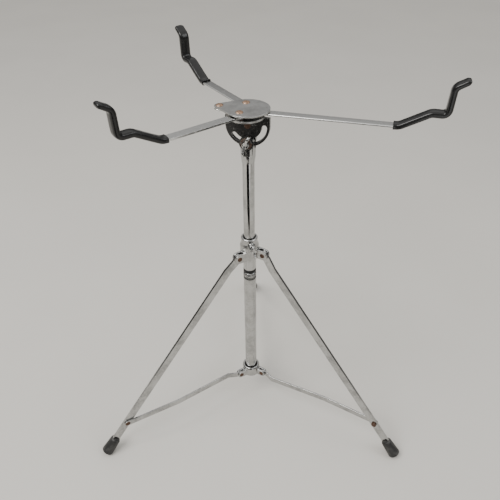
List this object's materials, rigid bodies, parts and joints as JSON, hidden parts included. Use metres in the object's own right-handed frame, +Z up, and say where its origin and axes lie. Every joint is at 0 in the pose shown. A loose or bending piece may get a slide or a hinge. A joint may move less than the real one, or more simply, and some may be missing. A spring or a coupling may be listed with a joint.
{
  "type": "snare drum stand",
  "caption": "Folding tripod stand with a sliding, tilting head whose swinging sleeved arms cradle a snare drum.",
  "frame": {"origin": "on the floor, on the axis of the column", "axes": "+Z up the column, +Y along the rear leg, +X to the right when seen from the front"},
  "size_m": [0.4806, 0.4204, 0.5881],
  "materials": {
    "tube_chrome": "polished",
    "strip_chrome": "polished",
    "cast_chrome": "polished",
    "plate_chrome": "polished",
    "knurl": "knurled",
    "rubber": "moulded",
    "vinyl": "glossy dip",
    "black_paint": "worn gloss",
    "rusty_steel": "rusty",
    "copper_rivet": "tarnished",
    "bush_plastic": "moulded"
  },
  "bodies": {
    "column": {"lower_tube": "tube_chrome", "knurled_band": "knurl", "tube_end_plug": "rubber", "upper_hub": "cast_chrome", "hub_rivets": "rusty_steel"},
    "brace_hub": {"sliding_hub": "cast_chrome", "sliding_hub_rivets": "rusty_steel"},
    "rear_leg_body": {"rear_leg": "strip_chrome", "rear_foot": "rubber", "rear_leg_stud": "rusty_steel"},
    "rear_brace_body": {"rear_brace": "strip_chrome", "rear_brace_rivet": "rusty_steel"},
    "left_leg_body": {"left_leg": "strip_chrome", "left_foot": "rubber", "left_leg_stud": "rusty_steel"},
    "left_brace_body": {"left_brace": "strip_chrome", "left_brace_rivet": "rusty_steel"},
    "right_leg_body": {"right_leg": "strip_chrome", "right_foot": "rubber", "right_leg_stud": "rusty_steel"},
    "right_brace_body": {"right_brace": "strip_chrome", "right_brace_rivet": "rusty_steel"},
    "height_screw_body": {"height_wing_screw": "cast_chrome"},
    "bush_body": {"split_bush": "bush_plastic"},
    "mast": {"upper_tube": "tube_chrome", "tilter_head": "cast_chrome", "tilter_washer": "rusty_steel"},
    "tilter_screw_body": {"tilter_wing_screw": "cast_chrome"},
    "basket": {"tilter_plate": "black_paint", "tilter_pivot_rivet": "rusty_steel", "lower_plate": "plate_chrome", "top_plate": "plate_chrome", "tail_spacer": "cast_chrome", "basket_rivets": "copper_rivet", "fixed_arm": "strip_chrome", "fixed_sleeve": "vinyl", "left_washers": "rusty_steel", "rear_washers": "rusty_steel"},
    "left_arm_body": {"left_arm": "strip_chrome", "left_sleeve": "vinyl"},
    "rear_arm_body": {"rear_arm": "strip_chrome", "rear_sleeve": "vinyl"}
  },
  "joints": [
    {"name": "brace_hub_slide", "type": "slide", "parent": "column", "child": "brace_hub", "axis": [0, 0, 1], "range_m": [0, 0.1323]},
    {"name": "rear_leg_fold", "type": "hinge", "parent": "column", "child": "rear_leg_body", "pos_m": [0, 0.021, 0.313], "axis": [-1, 0, 0], "range_deg": [0, 26.5]},
    {"name": "rear_brace_fold", "type": "hinge", "parent": "brace_hub", "child": "rear_brace_body", "pos_m": [0, 0.022, 0.052], "axis": [-1, 0, 0], "range_deg": [0, 71.36]},
    {"name": "left_leg_fold", "type": "hinge", "parent": "column", "child": "left_leg_body", "pos_m": [-0.01819, -0.0105, 0.313], "axis": [0.5, -0.866, 0], "range_deg": [0, 26.5]},
    {"name": "left_brace_fold", "type": "hinge", "parent": "brace_hub", "child": "left_brace_body", "pos_m": [-0.01905, -0.011, 0.052], "axis": [0.5, -0.866, 0], "range_deg": [0, 71.36]},
    {"name": "right_leg_fold", "type": "hinge", "parent": "column", "child": "right_leg_body", "pos_m": [0.01819, -0.0105, 0.313], "axis": [0.5, 0.866, 0], "range_deg": [0, 26.5]},
    {"name": "right_brace_fold", "type": "hinge", "parent": "brace_hub", "child": "right_brace_body", "pos_m": [0.01905, -0.011, 0.052], "axis": [0.5, 0.866, 0], "range_deg": [0, 71.36]},
    {"name": "height_screw_turn", "type": "hinge", "parent": "column", "child": "height_screw_body", "pos_m": [0.00585, -0.01913, 0.33], "axis": [0.2924, -0.9563, 0], "range_deg": [-180, 180]},
    {"name": "mast_swivel", "type": "hinge", "parent": "column", "child": "bush_body", "pos_m": [0, 0, 0.33], "axis": [0, 0, 1], "continuous": true},
    {"name": "height_slide", "type": "slide", "parent": "bush_body", "child": "mast", "axis": [0, 0, 1], "range_m": [-0.064, 0.13]},
    {"name": "tilter_screw_turn", "type": "hinge", "parent": "mast", "child": "tilter_screw_body", "pos_m": [0, 0, 0.49], "axis": [-0.2284, -0.9736, 0], "range_deg": [-180, 180]},
    {"name": "basket_tilt", "type": "hinge", "parent": "mast", "child": "basket", "pos_m": [0, 0, 0.5115], "axis": [0.2284, 0.9736, 0], "range_deg": [-50, 75]},
    {"name": "left_arm_swing", "type": "hinge", "parent": "basket", "child": "left_arm_body", "pos_m": [-0.0094, -0.01382, 0.529], "axis": [0, 0, 1], "range_deg": [-51, 119]},
    {"name": "rear_arm_swing", "type": "hinge", "parent": "basket", "child": "rear_arm_body", "pos_m": [-0.00228, 0.01656, 0.529], "axis": [0, 0, 1], "range_deg": [-128, 42]}
  ],
  "couplings": [
    {"joint": "rear_leg_fold", "follows": "brace_hub_slide", "rad_per_m": 3.4956},
    {"joint": "rear_brace_fold", "follows": "brace_hub_slide", "rad_per_m": 9.413},
    {"joint": "left_leg_fold", "follows": "brace_hub_slide", "rad_per_m": 3.4956},
    {"joint": "left_brace_fold", "follows": "brace_hub_slide", "rad_per_m": 9.413},
    {"joint": "right_leg_fold", "follows": "brace_hub_slide", "rad_per_m": 3.4956},
    {"joint": "right_brace_fold", "follows": "brace_hub_slide", "rad_per_m": 9.413}
  ]
}
